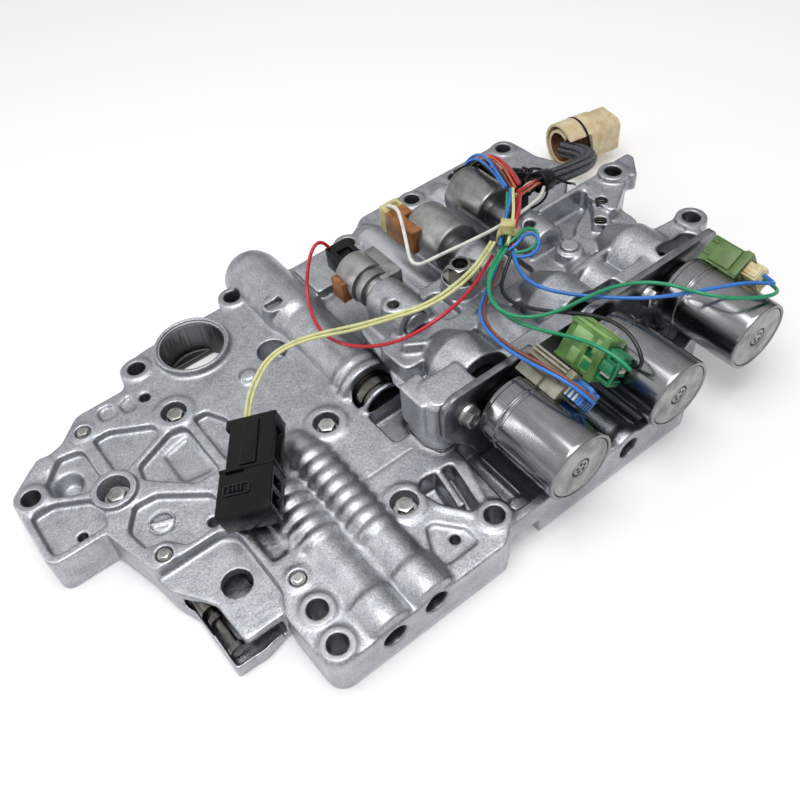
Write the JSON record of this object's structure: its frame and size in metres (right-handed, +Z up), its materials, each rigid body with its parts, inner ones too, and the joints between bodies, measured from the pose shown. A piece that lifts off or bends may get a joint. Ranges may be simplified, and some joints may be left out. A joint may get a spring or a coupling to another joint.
{
  "type": "transmission valve body",
  "caption": "Die-cast aluminium hydraulic valve body of an automatic gearbox, two castings with sliding valves, solenoids, connectors and a wiring harness.",
  "frame": {"origin": "axis of the front left mounting hole, on the base plane", "axes": "+X along the lower casting towards the case connector, +Y to the back, +Z up off the base plane"},
  "size_m": [0.3865, 0.2186, 0.0693],
  "materials": {
    "cast_aluminium": "as die cast, fine grain",
    "turned_aluminium": "turned",
    "plain_steel": "bare sheet and bar",
    "polished_steel": "drawn, bright",
    "dark_steel": "drawn, worn dark",
    "zinc_steel": "zinc plated",
    "black_steel": "black oxide",
    "grey_cream_plastic": "moulded, aged",
    "olive_plastic": "moulded, a little translucent",
    "cream_plastic": "moulded",
    "amber_plastic": "moulded",
    "blue_plastic": "moulded",
    "green_plastic": "moulded",
    "black_plastic": "moulded",
    "black_rubber": "moulded",
    "black_tape": "wound tape",
    "dark_braid": "braided",
    "mixed_wires": "bundle of coloured wires",
    "yellow_insulation": "extruded",
    "red_insulation": "extruded",
    "white_insulation": "extruded",
    "blue_insulation": "extruded",
    "green_insulation": "extruded",
    "black_insulation": "extruded"
  },
  "bodies": {
    "valve_body": {"lower_casting": "cast_aluminium", "separator_plate": "plain_steel", "upper_casting": "cast_aluminium", "casting_bolts": "zinc_steel", "flange_bolt": "black_steel", "clamp_plate_left": "plain_steel", "clamp_plate_right": "plain_steel", "clamp_bolts": "zinc_steel", "retainer_keys": "plain_steel", "bore_plugs": "turned_aluminium", "spool_spring_1": "plain_steel", "spool_spring_2": "plain_steel", "spool_spring_3": "plain_steel", "accumulator_spring": "plain_steel", "accumulator_cover": "turned_aluminium", "linear_can_1": "polished_steel", "linear_housing_1": "grey_cream_plastic", "linear_plug_1": "blue_plastic", "linear_can_2": "polished_steel", "linear_housing_2": "olive_plastic", "linear_plug_2": "green_plastic", "linear_can_3": "polished_steel", "linear_housing_3": "olive_plastic", "linear_plug_3": "cream_plastic", "linear_caps": "zinc_steel", "linear_noses": "turned_aluminium", "shift_can_1": "polished_steel", "shift_terminal_1": "amber_plastic", "shift_connector_1": "cream_plastic", "shift_can_2": "polished_steel", "shift_terminal_2": "amber_plastic", "shift_connector_2": "cream_plastic", "shift_can_3": "dark_steel", "shift_terminal_3": "black_plastic", "shift_connector_3": "black_plastic", "shift_noses": "turned_aluminium", "shift_bracket": "plain_steel", "case_connector": "grey_cream_plastic", "case_seal": "black_rubber", "case_insert": "amber_plastic", "two_way_connector": "black_plastic", "cable_tie": "cream_plastic", "tape_joint": "black_tape", "wire_trunk": "mixed_wires", "braided_sleeve": "dark_braid", "yellow_wires": "yellow_insulation", "red_wire": "red_insulation", "white_wire": "white_insulation", "blue_wire_3": "blue_insulation", "green_wire_3": "green_insulation", "green_wire_2": "green_insulation", "black_wire_2": "black_insulation", "pair_wires_1": "blue_insulation", "branch_wires": "mixed_wires", "feeder_wires": "mixed_wires"},
    "valve_1": {"spool_valve_1": "turned_aluminium"},
    "valve_2": {"spool_valve_2": "turned_aluminium"},
    "valve_3": {"spool_valve_3": "turned_aluminium"},
    "piston": {"accumulator_piston": "turned_aluminium"},
    "selector": {"manual_valve": "plain_steel"}
  },
  "joints": [
    {"name": "valve_1_slide", "type": "slide", "parent": "valve_body", "child": "valve_1", "axis": [0, 1, 0], "range_m": [-0.005, 0], "stiffness_N_per_m": 400, "springref_m": 0.004, "deforming": ["spool_spring_1"]},
    {"name": "valve_2_slide", "type": "slide", "parent": "valve_body", "child": "valve_2", "axis": [0, 1, 0], "range_m": [-0.005, 0], "stiffness_N_per_m": 400, "springref_m": 0.004, "deforming": ["spool_spring_2"]},
    {"name": "valve_3_slide", "type": "slide", "parent": "valve_body", "child": "valve_3", "axis": [0, 1, 0], "range_m": [-0.005, 0], "stiffness_N_per_m": 400, "springref_m": 0.004, "deforming": ["spool_spring_3"]},
    {"name": "piston_slide", "type": "slide", "parent": "valve_body", "child": "piston", "axis": [0, 1, 0], "range_m": [0, 0.012], "stiffness_N_per_m": 500, "springref_m": -0.004, "deforming": ["accumulator_spring"]},
    {"name": "selector_slide", "type": "slide", "parent": "valve_body", "child": "selector", "axis": [0, 1, 0], "range_m": [0, 0.008]}
  ]
}
